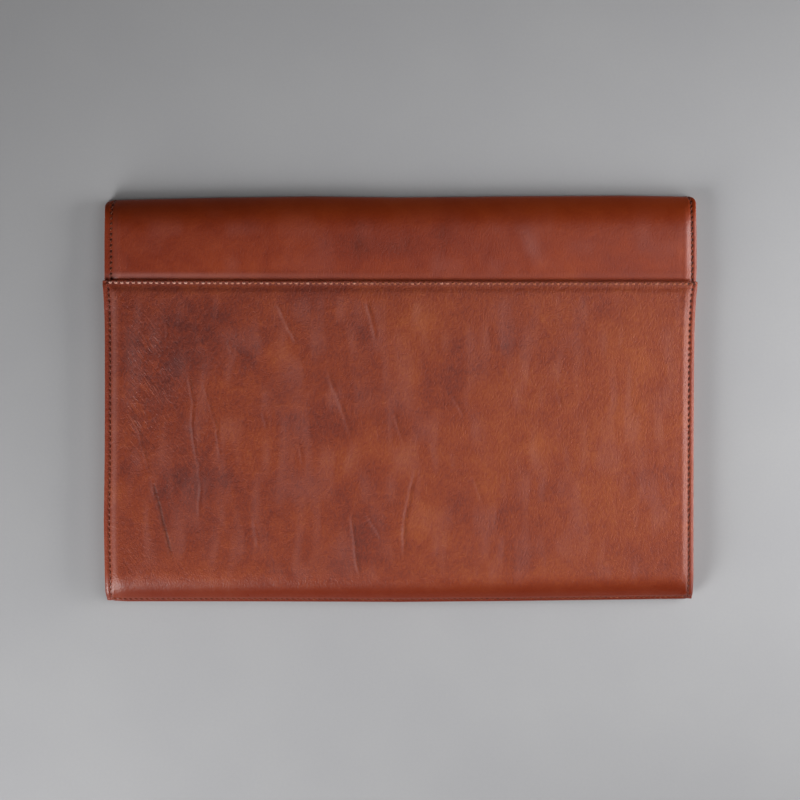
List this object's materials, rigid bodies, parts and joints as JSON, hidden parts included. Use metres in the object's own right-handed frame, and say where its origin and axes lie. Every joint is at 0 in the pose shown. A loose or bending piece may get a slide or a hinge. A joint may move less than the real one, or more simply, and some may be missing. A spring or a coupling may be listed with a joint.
{
  "type": "leather document case",
  "caption": "Flat leather document case with a stitched back panel, a front panel and a fold-over flap, lying on its closed flap.",
  "frame": {"origin": "on the surface that the case lies on, below the middle of the case", "axes": "+X across the case, +Y from its bottom edge to its top fold, +Z out of its back panel"},
  "size_m": [0.3525, 0.2408, 0.014],
  "materials": {
    "panel_leather": "semi-gloss grained chestnut leather",
    "flap_leather": "semi-gloss smooth chestnut leather"
  },
  "bodies": {
    "root": {"back_panel": "panel_leather", "front_panel": "panel_leather", "flap": "flap_leather"}
  },
  "joints": []
}
